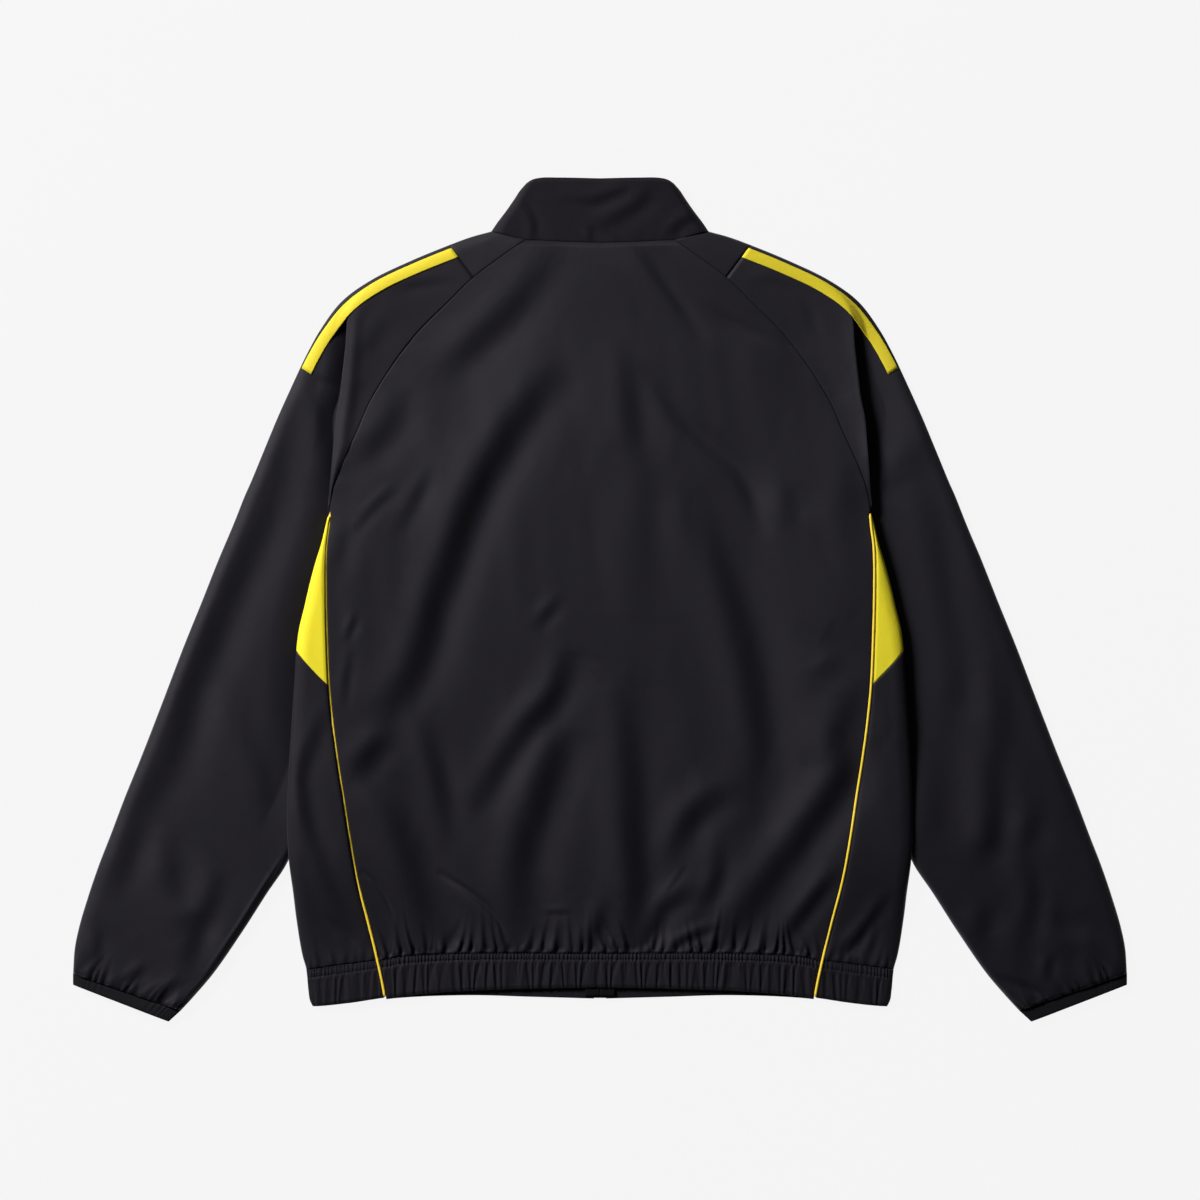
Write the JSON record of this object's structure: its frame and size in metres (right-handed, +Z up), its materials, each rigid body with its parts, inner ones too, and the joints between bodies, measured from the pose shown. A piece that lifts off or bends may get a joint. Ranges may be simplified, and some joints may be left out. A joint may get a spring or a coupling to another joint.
{
  "type": "windbreaker",
  "caption": "Track-style windbreaker with a zip front, stand collar, raglan sleeves, elastic hem and bound cuffs, laid flat face down with its back up.",
  "frame": {"origin": "centre of the laid garment's outline, on the surface that it lies on", "axes": "+X to the right across the sleeves as seen from above, +Y towards the collar, +Z up out of the surface"},
  "size_m": [0.9264, 0.7413, 0.0149],
  "materials": {
    "shell": "matte woven polyester with a soft cool sheen",
    "hem_band": "the shell cloth gathered over elastic",
    "cuff_binding": "matte elastic binding",
    "gusset": "matte woven polyester",
    "shoulder_tape": "flat woven tape",
    "piping": "corded satin piping",
    "zip_tape": "matte woven tape",
    "zip_coil": "moulded nylon teeth",
    "zip_metal": "satin black enamel"
  },
  "bodies": {
    "jacket": {"back": "shell", "front_left": "shell", "front_right": "shell", "side_left": "shell", "side_right": "shell", "gusset_left": "gusset", "gusset_right": "gusset", "sleeve_left": "shell", "sleeve_right": "shell", "yoke_left": "shell", "yoke_right": "shell", "stripe_left": "shoulder_tape", "stripe_right": "shoulder_tape", "cuff_left": "cuff_binding", "cuff_right": "cuff_binding", "collar": "shell", "hem_back": "hem_band", "hem_side_left": "hem_band", "hem_side_right": "hem_band", "hem_front_left": "hem_band", "hem_front_right": "hem_band", "piping_back_left": "piping", "piping_back_right": "piping", "piping_front_left": "piping", "piping_front_right": "piping", "zip_tape_left": "zip_tape", "zip_tape_right": "zip_tape", "zip_chain": "zip_coil", "zip_box": "zip_metal", "zip_slider": "zip_metal"},
    "pull_tab": {"zip_pull": "zip_metal"}
  },
  "joints": [
    {"name": "pull_swing", "type": "hinge", "parent": "jacket", "child": "pull_tab", "pos_m": [0, 0.36, 0.0015], "axis": [1, 0, 0], "range_deg": [0, 170]}
  ]
}
